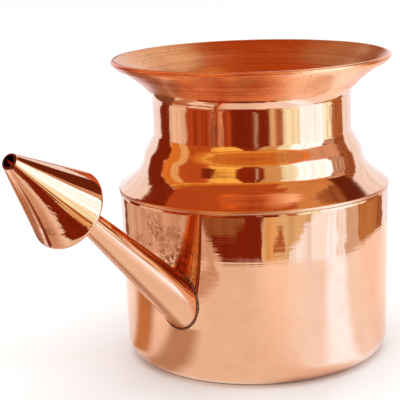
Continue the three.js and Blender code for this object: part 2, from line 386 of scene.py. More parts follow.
def taper_bmesh(start, end, margin, caps):
    """A taper round the spout's axis, wider than the tube by a margin."""
    bm = bmesh.new()
    place = SPOUT_FRAME @ Matrix.Translation((0, 0, (start + end) / 2))
    bmesh.ops.create_cone(
        bm, cap_ends=caps, segments=SPOUT_STEPS, depth=end - start, matrix=place,
        radius1=tube_radius(start) + margin, radius2=tube_radius(end) + margin,
    )
    bmesh.ops.recalc_face_normals(bm, faces=bm.faces[:])
    return bm


def bmesh_of(piece):
    bm = bmesh.new()
    bm.from_mesh(piece.data)
    return bm


def cut_piece(piece, cutter, keep_shading):
    """Cuts a piece by a cutter, and removes the cutter."""
    before = new_object(bmesh_of(piece), "uncut")
    before.data.set_sharp_from_angle(angle=SHARP_CORNER)
    cut = piece.modifiers.new("cut", "BOOLEAN")
    cut.object = cutter
    cut.solver = "EXACT"
    if keep_shading:
        shading = piece.modifiers.new("shading", "DATA_TRANSFER")
        shading.object = before
        shading.use_loop_data = True
        shading.data_types_loops = {"CUSTOM_NORMAL"}
        shading.loop_mapping = "POLYINTERP_NEAREST"
    graph = bpy.context.evaluated_depsgraph_get()
    mesh = bpy.data.meshes.new_from_object(
        piece.evaluated_get(graph), preserve_all_data_layers=True, depsgraph=graph)
    piece.modifiers.clear()
    piece.data = mesh
    bpy.data.objects.remove(before)
    bpy.data.objects.remove(cutter)


def wall_plug_bmesh(margin):
    """A plug the shape of the cup's outside, wider by a margin."""
    bm = bmesh.new()
    low, high = wall_radius(0) + margin, wall_radius(SHOULDER_HEIGHT) + margin
    bmesh.ops.create_cone(
        bm, cap_ends=True, segments=POT_STEPS, radius1=low, radius2=high, depth=SHOULDER_HEIGHT,
        matrix=Matrix.Translation((0, 0, SHOULDER_HEIGHT / 2)),
    )
    return bm


tube_bm = taper_bmesh(-ROOT_SPAN, SPOUT_LENGTH + SPOUT_TONGUE, 0, caps=False)
bmesh.ops.solidify(tube_bm, geom=tube_bm.faces[:], thickness=SPOUT_WALL)
tube = finish_piece(tube_bm, "copper_spout", "spout_tube")
cut_piece(tube, new_object(wall_plug_bmesh(-SHEET - SPOUT_INSET), "plug"), keep_shading=False)
tube.data.set_sharp_from_angle(angle=SHARP_CORNER)
report_piece(tube, "spout_tube")
hole = new_object(taper_bmesh(-ROOT_SPAN, ROOT_SPAN, HOLE_MARGIN, caps=True), "hole")
cut_piece(cup, hole, keep_shading=True)
report_piece(cup, "body_cup")

# %% [markdown]
# The nose piece is a spun cone with a small hole in its tip. Its back edge is rolled round and turned in,
# and a flat disc closes it round the tube. Both are turned upright first, then moved to the spout's end.
# On the real pot they sit a little askew: the back is below the tube's axis and nods down,
# and the cone leans the other way, which a shear does without bending its side.
# Two points near the ends of the cone's long side hold its shading straight.

# %% Nose piece
NOSE_RADIUS = 12.9 * MM
NOSE_LENGTH = 29.8 * MM
NOSE_TIP_RADIUS = 2.5 * MM
NOSE_DROP = 1.6 * MM  # middle of the back below the tube's axis
NOSE_NOD = math.radians(6.3)  # the back's turn from square to the tube
NOSE_LEAN = math.radians(5.3)  # the cone's lean from square to its back
NOSE_EDGE = 1.2 * MM
NOSE_SHEET = 0.7 * MM
NOSE_FLANGE = 1.6 * MM
TIP_BEVEL = 0.3 * MM
TIP_INNER_BEVEL = 0.15 * MM
DISC_MARGIN = 0.1 * MM
HOLD_SHARE = 0.03  # of a straight line, from either end to the point that holds its shading
ROLL_POINTS = 16
NOSE_STEPS = 128

NOSE_FRAME = (
    SPOUT_FRAME
    @ Matrix.Translation((-NOSE_DROP, 0, SPOUT_LENGTH))
    @ Matrix.Rotation(-NOSE_NOD, 4, "Y")
)
NOSE_SHEAR = Matrix.Shear("XY", 4, (math.tan(NOSE_LEAN), 0))
EDGE_CENTRE = Vector((NOSE_RADIUS - NOSE_EDGE, 0))
FLANGE_INSIDE = NOSE_SHEET - NOSE_EDGE
FLANGE_RADIUS = EDGE_CENTRE.x - NOSE_FLANGE
TIP = Vector((NOSE_TIP_RADIUS, NOSE_LENGTH))
NOSE_SLOPE = (
    math.atan2(EDGE_CENTRE.x - TIP.x, NOSE_LENGTH)
    + math.asin(NOSE_EDGE / (TIP - EDGE_CENTRE).length)
)
DISC_BACK = FLANGE_INSIDE + FIT_GAP


def held_line(start, end):
    """A straight line with a point near either end."""
    return [start, start.lerp(end, HOLD_SHARE), start.lerp(end, 1 - HOLD_SHARE), end]


def place_on_spout(bm):
    bmesh.ops.transform(bm, matrix=NOSE_FRAME @ NOSE_SHEAR, verts=bm.verts[:])
    return bm


def nose_cone_bmesh():
    outer_roll = arc(EDGE_CENTRE, NOSE_EDGE, -math.pi / 2, NOSE_SLOPE, ROLL_POINTS)
    inner_roll = arc(EDGE_CENTRE, NOSE_EDGE - NOSE_SHEET, NOSE_SLOPE, -math.pi / 2, ROLL_POINTS)
    tip_inside = TIP - Vector((NOSE_SHEET / math.cos(NOSE_SLOPE), 0))
    profile = [
        Vector((FLANGE_RADIUS, -NOSE_EDGE)),
        *outer_roll[:-1],
        *held_line(outer_roll[-1], TIP),
        *held_line(tip_inside, inner_roll[0]),
        *inner_roll[1:],
        Vector((FLANGE_RADIUS, FLANGE_INSIDE)),
    ]
    bm = bmesh.new()
    draw_line(bm, profile, closed=True)
    turn_line(bm, NOSE_STEPS)
    soften_ring(bm, *TIP, TIP_BEVEL)
    soften_ring(bm, *tip_inside, TIP_INNER_BEVEL, segments=2)
    return place_on_spout(bm)


def nose_disc_bmesh():
    bm = bmesh.new()
    bmesh.ops.create_cone(
        bm, cap_ends=True, segments=NOSE_STEPS, radius1=EDGE_CENTRE.x, radius2=EDGE_CENTRE.x,
        depth=NOSE_SHEET, matrix=Matrix.Translation((0, 0, DISC_BACK + NOSE_SHEET / 2)),
    )
    return place_on_spout(bm)


cone = finish_piece(nose_cone_bmesh(), "copper_nose_cone", "nose_cone")
report_piece(cone, "nose_cone")
disc = finish_piece(nose_disc_bmesh(), "copper_nose_disc", "nose_back_disc")
tube_room = taper_bmesh(SPOUT_LENGTH - ROOT_SPAN, SPOUT_LENGTH + SPOUT_TONGUE, DISC_MARGIN, caps=True)
cut_piece(disc, new_object(tube_room, "tube room"), keep_shading=False)
disc.data.set_sharp_from_angle(angle=SHARP_CORNER)
report_piece(disc, "nose_back_disc")

# %% [markdown]
# Solder runs into every joint and sets in a narrow, slightly lumpy line.
# Three of the four seams are round, so a small triangle is turned and its skin then pushed in and out
# by smooth noise. Noise from mathutils gives the same lumps on every run.

# %% Round solder seams
SOLDER_BEAD = 1.1 * MM
LUMP_SPACING = 2.6 * MM
LUMP_HEIGHT = 0.12 * MM
HOLLOW = 0.3  # share by which a fillet's face is drawn in towards its corner
SEAM_REACH = 0.25 * MM  # past the skirt at the shoulder, and in from the back of the nose piece


def add_lumps(bm):
    """Pushes each vertex along its normal by smooth noise."""
    bm.normal_update()
    pushes = [noise.noise(vert.co / LUMP_SPACING) * LUMP_HEIGHT for vert in bm.verts]
    normals = [vert.normal.copy() for vert in bm.verts]
    for vert, normal, push in zip(bm.verts, normals, pushes):
        vert.co += normal * push


def fillet_bmesh(corner, foot, shelf, steps):
    """A fillet of solder between three points of radius and height, turned round the axis."""
    hollow = ((foot + shelf) / 2).lerp(corner, HOLLOW)
    bm = bmesh.new()
    outline = [corner, corner.lerp(foot, 0.5), foot, hollow, shelf, shelf.lerp(corner, 0.5)]
    draw_line(bm, outline, closed=True)
    turn_line(bm, steps)
    steep = [edge for edge in bm.edges if abs(edge.verts[0].co.z - edge.verts[1].co.z) > NEAR]
    bmesh.ops.subdivide_edges(bm, edges=steep, cuts=1, use_grid_fill=True, smooth=0.4)
    return bm


def shoulder_seam_bmesh():
    top = SKIRT_FOOT - FIT_GAP
    foot = top - SOLDER_BEAD
    bm = fillet_bmesh(
        Vector((skirt_outside(top) + SEAM_REACH, top)),
        Vector((skirt_outside(foot) + SEAM_REACH, foot)),
        Vector((skirt_outside(top) - SHEET, top)), POT_STEPS)
    add_lumps(bm)
    return bm


def nose_seam_bmesh():
    outside = FLANGE_RADIUS - FIT_GAP
    bm = fillet_bmesh(
        Vector((outside, FLANGE_INSIDE)), Vector((outside, SEAM_REACH - NOSE_EDGE)),
        Vector((outside - SOLDER_BEAD, FLANGE_INSIDE)), NOSE_STEPS)
    add_lumps(bm)
    return place_on_spout(bm)


def nose_collar_bmesh():
    foot = FLANGE_INSIDE - SOLDER_BEAD
    bore = tube_radius(SPOUT_LENGTH)
    bm = fillet_bmesh(
        Vector((bore, FLANGE_INSIDE)), Vector((bore, foot)),
        Vector((bore + SOLDER_BEAD, FLANGE_INSIDE)), NOSE_STEPS)
    add_lumps(bm)
    bmesh.ops.translate(bm, vec=(NOSE_DROP, 0, 0), verts=bm.verts[:])
    return place_on_spout(bm)


ROUND_SEAMS = {
    "shoulder_seam": shoulder_seam_bmesh, "nose_seam": nose_seam_bmesh, "nose_collar": nose_collar_bmesh}
seams = []
for place, make in ROUND_SEAMS.items():
    seams.append(finish_piece(make(), "solder_" + place, place + "_solder"))
    report_piece(seams[-1], place + "_solder")

# %% [markdown]
# Round the root of the spout the solder shows as a thin dark line. The joint of a slanted tube and a
# round wall isn't flat, so each point starts on the tube and slides along it until it meets the wall.
# A curve through these points, given a round section that swells and thins a little, makes the bead.

# %% Solder at the root of the spout
ROOT_POINTS = 144
ROOT_BEAD = 0.5 * MM
ROOT_SWELL = 0.25  # share by which the bead swells and thins
HALVINGS = 24


def on_the_wall(angle):
    """Where the tube's side at an angle meets the outside of the cup."""
    low, high = -ROOT_SPAN, ROOT_SPAN
    for _ in range(HALVINGS):
        distance = (low + high) / 2
        radius = tube_radius(distance)
        point = SPOUT_FRAME @ Vector((radius * math.cos(angle), radius * math.sin(angle), distance))
        if point.xy.length > wall_radius(point.z):
            high = distance
        else:
            low = distance
    return point


def root_bead_mesh():
    path = bpy.data.curves.new("root_bead", "CURVE")
    path.dimensions = "3D"
    path.bevel_depth = ROOT_BEAD
    path.bevel_resolution = 3
    line = path.splines.new("POLY")
    line.points.add(ROOT_POINTS - 1)
    line.use_cyclic_u = True
    for i, knot in enumerate(line.points):
        place = on_the_wall(2 * math.pi * i / ROOT_POINTS)
        knot.co = (*place, 1)
        knot.radius = 1 + ROOT_SWELL * noise.noise(place / LUMP_SPACING)
    holder = bpy.data.objects.new("root_bead", path)
    mesh = bpy.data.meshes.new_from_object(holder)
    bpy.data.objects.remove(holder)
    return mesh


root_bm = bmesh.new()
root_bm.from_mesh(root_bead_mesh())
bmesh.ops.recalc_face_normals(root_bm, faces=root_bm.faces[:])
seams.append(finish_piece(root_bm, "solder_spout_root", "spout_root_solder"))
report_piece(seams[-1], "spout_root_solder")

# %% [markdown]
# Shader sums read best as plain arithmetic. This small class wraps one output of a node tree,
# so that 1 - mask or height * 3 adds the Math node by itself, and its node method adds any other node:
# the settings are set first, then the sockets get a value or a link.

# %% Shader arithmetic
class Wire:
    def __init__(self, tree, socket=None):
        self.tree = tree
        self.socket = socket

    def node(self, kind, settings, sockets, output=0):
        made = self.tree.nodes.new(kind)
        for name, value in settings.items():
            setattr(made, name, value)
        for name, value in sockets.items():
            if isinstance(value, Wire):
                self.tree.links.new(value.socket, made.inputs[name])
            else:
                made.inputs[name].default_value = value
        return Wire(self.tree, made.outputs[output] if made.outputs else None)

    def other(self, output):
        """Another output of the same node."""
        return Wire(self.tree, self.socket.node.outputs[output])

    def sum(self, operation, first, second):
        return self.node("ShaderNodeMath", {"operation": operation}, {0: first, 1: second})

    def __add__(self, value):
        return self.sum("ADD", self, value)

    def __radd__(self, value):
        return self.sum("ADD", value, self)

    def __sub__(self, value):
        return self.sum("SUBTRACT", self, value)

    def __rsub__(self, value):
        return self.sum("SUBTRACT", value, self)

    def __mul__(self, value):
        return self.sum("MULTIPLY", self, value)

    def __rmul__(self, value):
        return self.sum("MULTIPLY", value, self)

    def __truediv__(self, value):
        return self.sum("DIVIDE", self, value)

    def __rtruediv__(self, value):
        return self.sum("DIVIDE", value, self)

    def __pow__(self, value):
        return self.sum("POWER", self, value)

    def __abs__(self):
        return self.sum("ABSOLUTE", self, 0)

    def between(self, low, high):
        """0 below low, 1 above high and a soft step from one to the other."""
        return self.node(
            "ShaderNodeMapRange", {"interpolation_type": "SMOOTHSTEP"},
            {"Value": self, "From Min": low, "From Max": high})

    def blend(self, first, second):
        """The first colour where this is 0 and the second where it is 1."""
        return self.node("ShaderNodeMix", {"data_type": "RGBA"}, {0: self, 6: first, 7: second}, output=2)


print("a wire's own methods:", [name for name in vars(Wire) if not name.startswith("__")])

# %% [markdown]
# Every finish below starts from an empty material and from places on the object itself, so a pattern stays
# on the metal when the pot is turned. Smooth noise, stretched by a spacing along each axis, makes haze,
# specks and waves. The same noise on radius and height alone makes rings about an axis,
# which is what the spinning tool leaves behind.

# %% Patterns
RING_SPACING = 1.1 * MM
RING_DEPTH = 0.014 * MM
RING_DRIFT = 12  # changes of the rings for each metre across


def new_material(name):
    """An empty material, with a wire that adds nodes to it."""
    material = bpy.data.materials.new(name)
    material.use_nodes = True
    material.node_tree.nodes.clear()
    return material, Wire(material.node_tree)


def show(start, shader):
    start.node("ShaderNodeOutputMaterial", {}, {"Surface": shader})


def show_surface(start, sockets):
    show(start, start.node("ShaderNodeBsdfPrincipled", {}, sockets))


def object_place(start, origin=(0, 0, 0), turn=(0, 0, 0)):
    """Object coordinates, moved and turned to a piece's own axis."""
    place = start.node("ShaderNodeTexCoord", {}, {}, output="Object")
    return start.node(
        "ShaderNodeMapping", {"vector_type": "TEXTURE"},
        {"Vector": place, "Location": origin, "Rotation": turn})


def noise_at(start, place, spacing, detail=2.0, roughness=0.5):
    """Smooth noise with a spacing along each axis, or the same along all."""
    spacings = spacing if isinstance(spacing, tuple) else (spacing,) * 3
    vector = start.node("ShaderNodeVectorMath", {"operation": "DIVIDE"}, {0: place, 1: spacings})
    return start.node(
        "ShaderNodeTexNoise", {},
        {"Vector": vector, "Scale": 1.0, "Detail": detail, "Roughness": roughness})


def turning_rings(start, place, spacing):
    """Noise in rings about the Z axis of the place, drifting slowly round it."""
    x = start.node("ShaderNodeSeparateXYZ", {}, {"Vector": place}, output="X")
    y, z = x.other("Y"), x.other("Z")
    radius = (x * x + y * y) ** 0.5
    rings = start.node("ShaderNodeCombineXYZ", {}, {"X": radius, "Y": z, "Z": x * (RING_DRIFT * spacing)})
    return noise_at(start, rings, spacing, detail=3.0, roughness=0.6)


def bump_of(start, height, depth):
    """A normal that follows a height, in metres of depth."""
    return start.node("ShaderNodeBump", {}, {"Strength": 1.0, "Distance": depth, "Height": height})


print("rings tilt the mirror by about", round(math.degrees(RING_DEPTH / RING_SPACING), 2), "degrees")

# %% [markdown]
# Polished copper is a mirror with a warm tint, so most of its look is what it reflects.
# What makes it real is small: the tool's rings shift reflections up and down into fine teeth,
# slow waves in the sheet make straight lines wander, haze dulls it unevenly,
# and brown specks of tarnish sit on it, most of them where the torch heated the metal for soldering.

# %% Polished copper
COPPER_TONE = (0.86, 0.49, 0.315, 1)
RED_TONE = (0.80, 0.36, 0.20, 1)
TARNISH_TONE = (0.30, 0.09, 0.03, 1)
POLISHED = 0.025
HAZED = 0.08
DRAWN_DEPTH = 0.002 * MM  # a drawn tube has hardly any rings
UPRIGHT = {"origin": (0, 0, 0), "turn": (0, 0, 0)}
WAVE_SPACING = 14 * MM
WAVE_DEPTH = 0.02 * MM
HAZE_SPACING = 9 * MM
SPECK_SPACING = 1.3 * MM
PATCH_SPACING = 22 * MM
SMUDGE_SPACING = 7 * MM


def patch_round(start, point, reach):
    """1 round a point, falling softly to 0 at its reach."""
    gap = start.node(
        "ShaderNodeVectorMath", {"operation": "DISTANCE"},
        {0: object_place(start), 1: tuple(point)}, output="Value")
    return 1 - gap.between(0.2 * reach, reach)


def tarnish_mask(start, place, heated):
    """Brown specks: a few in patches, and many where the metal was heated."""
    specks = noise_at(start, place, SPECK_SPACING, detail=4.0, roughness=0.75)
    patches = noise_at(start, place, PATCH_SPACING)
    smudges = noise_at(start, place, SMUDGE_SPACING, detail=3.0)
    few = specks.between(0.64, 0.72) * patches.between(0.5, 0.7) * 0.7
    many = specks.between(0.42, 0.54) * smudges.between(0.40, 0.58) * heated * 0.9
    return few + many


def polished_copper(name, mark, mark_reach, axis=UPRIGHT, ring_depth=RING_DEPTH, dullness=POLISHED):
    """Polished copper, turned about an axis and marked by a torch near a point."""
    material, start = new_material(name)
    place = object_place(start, **axis)
    haze = noise_at(start, place, HAZE_SPACING, detail=4.0, roughness=0.65)
    tarnish = tarnish_mask(start, place, patch_round(start, mark, mark_reach))
    tone = (haze.between(0.3, 0.8) * 0.25).blend(COPPER_TONE, RED_TONE)
    tone = tarnish.blend(tone, TARNISH_TONE)
    roughness = dullness + haze.between(0.45, 0.8) * 0.05 + tarnish * 0.25
    height = turning_rings(start, place, RING_SPACING) * ring_depth
    height = height + noise_at(start, place, WAVE_SPACING, detail=1.0) * WAVE_DEPTH
    bump = bump_of(start, height, 1.0)
    show_surface(start, {"Base Color": tone, "Metallic": 1.0, "Roughness": roughness, "Normal": bump})
    return material


WALL_MARK = round_the_pot(math.radians(-42), SHOULDER_RADIUS, 43 * MM)
SPOUT_MARK = SPOUT_FRAME @ Vector((SPOUT_ROOT_RADIUS, 0.5 * SPOUT_ROOT_RADIUS, 9 * MM))
NOSE_MARK = NOSE_FRAME @ Vector((-0.8 * NOSE_RADIUS, 0.6 * NOSE_RADIUS, 4 * MM))
SPOUT_AXIS = {"origin": tuple(SPOUT_ROOT), "turn": (0, SPOUT_LEAN, 0)}
NOSE_AXIS = {"origin": tuple(NOSE_FRAME.translation), "turn": (0, SPOUT_LEAN, 0)}
NOSE_FINISH = polished_copper("nose copper", NOSE_MARK, mark_reach=20 * MM, axis=NOSE_AXIS)
CUP_FINISH = polished_copper("cup copper", WALL_MARK, mark_reach=26 * MM)
MOUTH_FINISH = polished_copper("mouth copper", WALL_MARK, mark_reach=10 * MM, dullness=HAZED)
SPOUT_FINISH = polished_copper(
    "spout copper", SPOUT_MARK, mark_reach=13 * MM, axis=SPOUT_AXIS, ring_depth=DRAWN_DEPTH)
cup.data.materials.append(CUP_FINISH)
mouth.data.materials.append(MOUTH_FINISH)
tube.data.materials.append(SPOUT_FINISH)
cone.data.materials.append(NOSE_FINISH)
disc.data.materials.append(NOSE_FINISH)
print("torch marks at, in mm:", in_mm(WALL_MARK), in_mm(SPOUT_MARK), in_mm(NOSE_MARK))

# %% [markdown]
# The buffing wheel doesn't reach everywhere. The flare and the whole inside keep the finish of the lathe:
# a dull, redder copper with fine lines round the axis and dark dots, and on the flare a pale patch that is
# a painted highlight.
# It is a second finish on the same pieces, given to the faces that look towards the axis
# and to those of the flare above the last polished ring.

# %% Satin copper
FLARE_TONES = (0.66, 0.10, 0.025, 1), (1.0, 0.41, 0.13, 1)
INSIDE_TONES = (0.65, 0.23, 0.085, 1), (0.87, 0.41, 0.18, 1)
# Dark tones for the tip of the nose piece; inside its hole they are painted shade.
DARK_TIP_AND_HOLE_SHADE_TONES = (0.08, 0.012, 0.01, 1), (0.20, 0.05, 0.03, 1)
PAINTED_HIGHLIGHT_TONE = (1.0, 0.58, 0.33, 1)
SATIN = 0.2
LATHE_SPACING = 0.5 * MM
LATHE_DEPTH = 0.006 * MM
SMEAR_SPACING = 16 * MM, 16 * MM, 5 * MM
DOT_SPACING = 1.0 * MM
SATIN_FOOT = NECK_TOP + 4.1 * MM
# A painted highlight on the flare: a paler patch of tone round this point, out to the reach below.
FLARE_HIGHLIGHT_PLACE = round_the_pot(math.radians(33), 43 * MM, NECK_TOP + 9 * MM)
FLARE_HIGHLIGHT_REACH = 24 * MM


def satin_copper(name, tones, dullness, metallic=1.0, painted_highlight=None):
    """Copper as it leaves the lathe, with a painted highlight, a pale patch round a point, if one is given.
    """
    material, start = new_material(name)
    place = object_place(start)
    lines = turning_rings(start, place, LATHE_SPACING)
    smears = noise_at(start, place, SMEAR_SPACING, detail=4.0, roughness=0.6)
    dots = noise_at(start, place, DOT_SPACING, detail=2.0, roughness=0.6).between(0.66, 0.70) * 0.8
    tone = (lines.between(0.35, 0.6) * 0.6 + smears.between(0.35, 0.65) * 0.4).blend(*tones)
    # The pale patch is a painted highlight.
    if painted_highlight:
        tone = patch_round(start, painted_highlight, FLARE_HIGHLIGHT_REACH).blend(tone, PAINTED_HIGHLIGHT_TONE)
    tone = dots.blend(tone, TARNISH_TONE)
    roughness = dullness + smears * 0.12 + dots * 0.2
    bump = bump_of(start, lines, LATHE_DEPTH)
    show_surface(start, {"Base Color": tone, "Metallic": metallic, "Roughness": roughness, "Normal": bump})
    return material


def give_finish(piece, material, chosen):
    """Another finish, on the faces that are chosen."""
    piece.data.materials.append(material)
    faces = [face for face in piece.data.polygons if chosen(face)]
    for face in faces:
        face.material_index = len(piece.data.materials) - 1
    print(piece.name, len(faces), "faces of", material.name)


def looks_inwards(face):
    return face.normal.xy.dot(face.center.xy) < 0


def on_the_flare(face):
    return face.center.z > SATIN_FOOT and not looks_inwards(face)


INSIDE_FINISH = satin_copper("inside copper", INSIDE_TONES, SATIN)
give_finish(cup, INSIDE_FINISH, looks_inwards)
give_finish(mouth, INSIDE_FINISH, looks_inwards)
# The flare's finish carries the painted highlight.
FLARE_FINISH = satin_copper("flare copper", FLARE_TONES, SATIN, metallic=0.8, painted_highlight=FLARE_HIGHLIGHT_PLACE)
give_finish(mouth, FLARE_FINISH, on_the_flare)

# %% [markdown]
# Two small places are duller still. The shoulder's sharp edge is worn by handling,
# and the tip of the nose piece is dark round its hole, outside and a little way in; inside the hole the
# dark is painted shade.

# %% Worn edge and dark tip
WORN = 0.3
EDGE_BAND = 0.3 * MM
EDGE_TOP = SHOULDER_HEIGHT + 1.0 * MM
TIP_BAND = 0.4 * MM


def on_the_edge(face):
    outermost = face.center.xy.length > SHOULDER_RADIUS - EDGE_BAND
    return outermost and face.center.z < EDGE_TOP


def on_the_tip(face):
    place = (NOSE_FRAME @ NOSE_SHEAR).inverted() @ face.center
    in_the_hole = place.xy.length < NOSE_TIP_RADIUS - TIP_BAND
    return in_the_hole or place.z > NOSE_LENGTH - TIP_BAND


EDGE_FINISH = polished_copper("edge copper", WALL_MARK, mark_reach=10 * MM, dullness=WORN)
give_finish(mouth, EDGE_FINISH, on_the_edge)
# The tip is dark round its hole, and the inside of the hole is painted shade.
give_finish(cone, satin_copper("dark tip and painted hole shade", DARK_TIP_AND_HOLE_SHADE_TONES, WORN), on_the_tip)

# %% [markdown]
# Solder is duller and darker than the copper, and dirt stays in its hollows.
# One grain of noise drives its tone, its roughness and its bumps, so the dark spots are also the low ones.

# %% Solder
SOLDER_TONES = (0.10, 0.035, 0.02, 1), (0.30, 0.13, 0.08, 1)
GRAIN_SPACING = 0.8 * MM
GRAIN_DEPTH = 0.06 * MM


def dark_solder():
    material, start = new_material("dark solder")
    grain = noise_at(start, object_place(start), GRAIN_SPACING, detail=4.0, roughness=0.6)
    tone = grain.between(0.35, 0.7).blend(*SOLDER_TONES)
    bump = bump_of(start, grain, GRAIN_DEPTH)
    roughness = grain * 0.3 + 0.3
    show_surface(start, {"Base Color": tone, "Metallic": 0.8, "Roughness": roughness, "Normal": bump})
    return material


SOLDER_FINISH = dark_solder()
for seam in seams:
    seam.data.materials.append(SOLDER_FINISH)
print(len(seams), "seams of", SOLDER_FINISH.name)

# %% [markdown]
# The studio. A pale floor fills the picture, and an even pale sky and a large soft lamp light it.
# The lamp hides from reflections, where it would show as a hard white square.

# %% Floor and light
FLOOR_TONES = (0.93, 0.93, 0.93, 1), (0.96, 0.96, 0.96, 1)
FLOOR_GRAIN = 40 * MM
FLOOR_HALF = 6.0
LAMP_HEIGHT = 1.4
LAMP_SIZE = 1.2
LAMP_POWER = 6.0  # watts


def floor_finish():
    material, start = new_material("floor")
    grain = noise_at(start, object_place(start), FLOOR_GRAIN, detail=3.0)
    show_surface(start, {"Base Color": grain.blend(*FLOOR_TONES), "Roughness": 0.6})
    return material


floor_bm = bmesh.new()
bmesh.ops.create_grid(floor_bm, x_segments=4, y_segments=4, size=FLOOR_HALF)
floor = new_object(floor_bm, "floor")
floor.data.materials.append(floor_finish())
floor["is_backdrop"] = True

sky = bpy.data.worlds.new("studio")
sky.use_nodes = True
sky.node_tree.nodes["Background"].inputs["Color"].default_value = (1, 1, 1, 1)
sky.node_tree.nodes["Background"].inputs["Strength"].default_value = 1.0
bpy.context.scene.world = sky
bpy.context.scene.view_settings.view_transform = "Standard"

lamp = bpy.data.objects.new("soft_lamp", bpy.data.lights.new("soft_lamp", "AREA"))
lamp.data.size = LAMP_SIZE
lamp.data.energy = LAMP_POWER
lamp.location = (0, 0, LAMP_HEIGHT)
lamp.visible_glossy = False
lamp.visible_camera = False
bpy.context.scene.collection.objects.link(lamp)
print("floor", 2 * FLOOR_HALF, "m wide, lamp at", LAMP_HEIGHT, "m")

# %% [markdown]
# A mirror needs something to mirror, so glowing cards stand round the pot, as in a product photograph.
# Only reflections see them: they cast no light or shadow on the floor. Each card runs between two angles,
# counted in degrees to the right of the camera, and may lean, because the turning rings draw
# a slanted edge out into teeth. Its sides wander a little, as if cut by hand, and may be torn.
# Its glow has upright streaks of a darker shade, so no card looks flat.

# %% Card helpers
WARMING = 1.0, 1.5, 2.0  # powers of the shade for red, green and blue
CARD_COLUMNS = 40
CARD_ROWS = 32
SWAY = 4.0  # degrees by which sides may wander
SWAY_WIDTH = 6  # degrees across which columns wander alike
SWAY_HEIGHT = 5 * MM
RAY_DROP = 0.23  # slope of the rays that the neck mirrors, which spreads the waves on the floor
TEETH = 0.3  # of a ragged foot, for each degree
TEAR_SPACING = 1.2 * MM
STREAK_SPACING = 22 * MM, 22 * MM, 500 * MM
cards = []


def card_finish(name, tone, strength=1.0, shade=0.85, spacing=STREAK_SPACING, fade=None):
    """A glow with streaks of a darker shade, see-through where the fade is 1."""
    material, start = new_material(name)
    streaks = noise_at(start, object_place(start), spacing)
    darker = tuple(value * shade ** power for value, power in zip(tone, WARMING))
    colour = streaks.between(0.3, 0.6).blend((*darker, 1), (*tone, 1))
    shader = start.node(
        "ShaderNodeBsdfPrincipled", {},
        {"Base Color": (0, 0, 0, 1), "Specular IOR Level": 0.0, "Roughness": 1.0,
         "Emission Color": colour, "Emission Strength": strength})
    if fade:
        clear = start.node("ShaderNodeBsdfTransparent", {}, {})
        shader = start.node("ShaderNodeMixShader", {}, {0: fade(start), 1: shader, 2: clear})
    show(start, shader)
    return material


def stage_card(bm, name, tone, **finish):
    """A bmesh becomes a card that only reflections see."""
    card = new_object(bm, "card " + name)
    card.data.materials.append(card_finish("card " + name, tone, **finish))
    for ray in ("camera", "diffuse", "shadow", "transmission", "volume_scatter"):
        setattr(card, "visible_" + ray, False)
    card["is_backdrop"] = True
    cards.append(card)


def card_row(bm, height, left, right, left_reach, right_reach, ragged, torn):
    """A row of vertices between two angles, at a reach from the pot's axis for either end."""
    row = []
    for i in range(CARD_COLUMNS + 1):
        share = i / CARD_COLUMNS
        angle = left + (right - left) * share
        reach = left_reach + (right_reach - left_reach) * share
        reach += ragged * noise.noise(Vector((TEETH * angle, 0, 0)))
        level = (height - RAY_DROP * reach) / SWAY_HEIGHT
        angle += SWAY * noise.noise(Vector((angle / SWAY_WIDTH, level, 0)))
        angle += torn * noise.noise(Vector((0, 0, reach / TEAR_SPACING)))
        row.append(bm.verts.new(round_the_pot(math.radians(angle), reach, height)))
    return row


def add_card(name, tone, rows, ragged=0.0, torn=0.0, **finish):
    """A card through rows of a height, two angles and two reaches, with a ragged foot or torn sides."""
    bm = bmesh.new()
    flat = [(height, *sides, *reaches) for height, sides, reaches in rows]
    made = [card_row(bm, *flat[0], ragged, torn)]
    for before, after in zip(flat, flat[1:]):
        for step in range(1, CARD_ROWS + 1):
            share = step / CARD_ROWS
            row = [start + (end - start) * share for start, end in zip(before, after)]
            made.append(card_row(bm, *row, ragged * (1 - share), torn))
    for low, high in zip(made, made[1:]):
        for i in range(CARD_COLUMNS):
            bm.faces.new((low[i], low[i + 1], high[i + 1], high[i]))
    stage_card(bm, name, tone, **finish)


print("a card has", CARD_COLUMNS, "columns and", CARD_ROWS, "rows")

# %% [markdown]
# The near cards stand on a circle of about 187 mm and are only 24 mm high. The wall of the cup mirrors the
# floor in its lower part and this strip above it, so the cards' ragged feet draw a toothed line round it.
# A dark card stands in the middle, a wide peach one to its left and a bright window to its right.
# The whites lean towards blue and pass 1, because copper mirrors only part of the blue and green.

# %% Near cards, for the wall of the cup
DARK = (0.24, 0.028, 0.008)
BROWN = (0.50, 0.20, 0.08)
ORANGE = (0.80, 0.42, 0.16)
PEACH = (0.84, 0.64, 0.53)
CREAM = (0.95, 0.86, 0.76)
GOLD = (0.95, 0.66, 0.30)
PALE_GOLD = (0.92, 0.80, 0.50)
WHITE = (1.10, 1.22, 1.38)
DAYLIGHT = (1.25, 1.75, 2.40)
SKYLIGHT = (1.18, 1.50, 1.90)
NEAR_REACH = 187  # millimetres
KNEE = 24  # millimetres
RAGGED = 2 * MM


def add_near_card(
        name, tone, foot, head=None, reaches=(NEAR_REACH, NEAR_REACH), heights=(0, KNEE), **finish):
    """A card between two angles at its foot and two at its head, its reaches and heights in millimetres."""
    ends = [reach * MM for reach in reaches]
    rows = (heights[0] * MM, foot, ends), (heights[1] * MM, head or foot, ends)
    add_card("near " + name, tone, rows, RAGGED, **finish)


